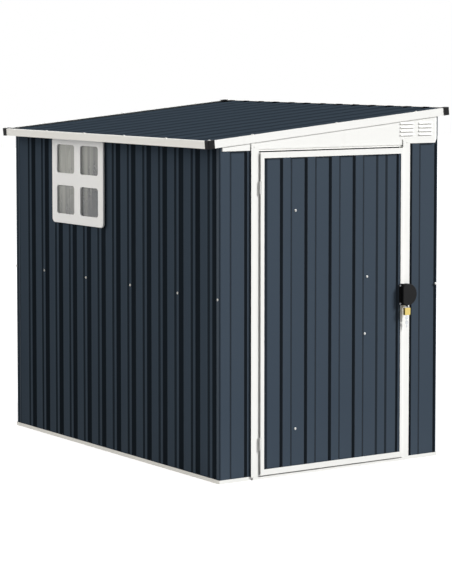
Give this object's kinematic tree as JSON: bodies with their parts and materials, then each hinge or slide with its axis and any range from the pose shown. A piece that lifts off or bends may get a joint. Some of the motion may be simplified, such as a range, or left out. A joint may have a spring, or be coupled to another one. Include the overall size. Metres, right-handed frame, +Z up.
{
  "type": "metal garden shed",
  "caption": "Lean-to garden shed of ribbed sheet steel with a hinged door, a four-pane window, white edge trims and a padlocked latch.",
  "frame": {"origin": "centre of the bounding box in plan, on the plane the base rails stand on", "axes": "+X along the door face from the low eave to the high side, +Y from the door face to the back, +Z up; the door faces -Y"},
  "size_m": [1.4262, 1.9944, 1.7285],
  "materials": {
    "slate_steel": "satin slate blue-grey coating on ribbed sheet",
    "inner_steel": "satin dark grey coating",
    "white_steel": "smooth white coating",
    "window_plastic": "smooth white plastic",
    "window_pane": "hazy clear plastic sheet",
    "black_plastic": "matt black moulding",
    "lock_brass": "satin brass",
    "bright_steel": "bright plated steel"
  },
  "bodies": {
    "shed": {"base_rail_left": "white_steel", "base_rail_right": "white_steel", "base_rail_back": "white_steel", "base_rail_front": "white_steel", "door_sill": "white_steel", "left_wall": "slate_steel", "right_wall": "slate_steel", "back_wall": "slate_steel", "front_wall_low": "slate_steel", "front_wall_high": "slate_steel", "door_post_left": "white_steel", "door_post_right": "white_steel", "door_header": "white_steel", "gable_board_front": "white_steel", "gable_board_back": "white_steel", "corner_posts": "inner_steel", "middle_rails": "inner_steel", "top_rail_low": "inner_steel", "top_rail_high": "inner_steel", "gable_rail_front": "inner_steel", "gable_rail_back": "inner_steel", "roof_beams": "inner_steel", "roof_sheet": "slate_steel", "eave_trim": "white_steel", "high_trim": "white_steel", "rake_trim_front": "white_steel", "rake_trim_back": "white_steel", "corner_caps": "black_plastic", "window_frame": "window_plastic", "window_glass": "window_pane", "hinge_plates_fixed": "white_steel"},
    "door": {"door_frame": "white_steel", "door_panel": "slate_steel", "door_braces": "inner_steel", "latch_plate": "black_plastic", "latch_grip": "black_plastic", "padlock_body": "lock_brass", "padlock_shackle": "bright_steel", "padlock_keys": "bright_steel", "hinge_plates_leaf": "white_steel"}
  },
  "joints": [
    {"name": "door_swing", "type": "hinge", "parent": "shed", "child": "door", "pos_m": [-0.42588, -0.97115, 0.769], "axis": [0, 0, -1], "range_deg": [0, 110]}
  ]
}
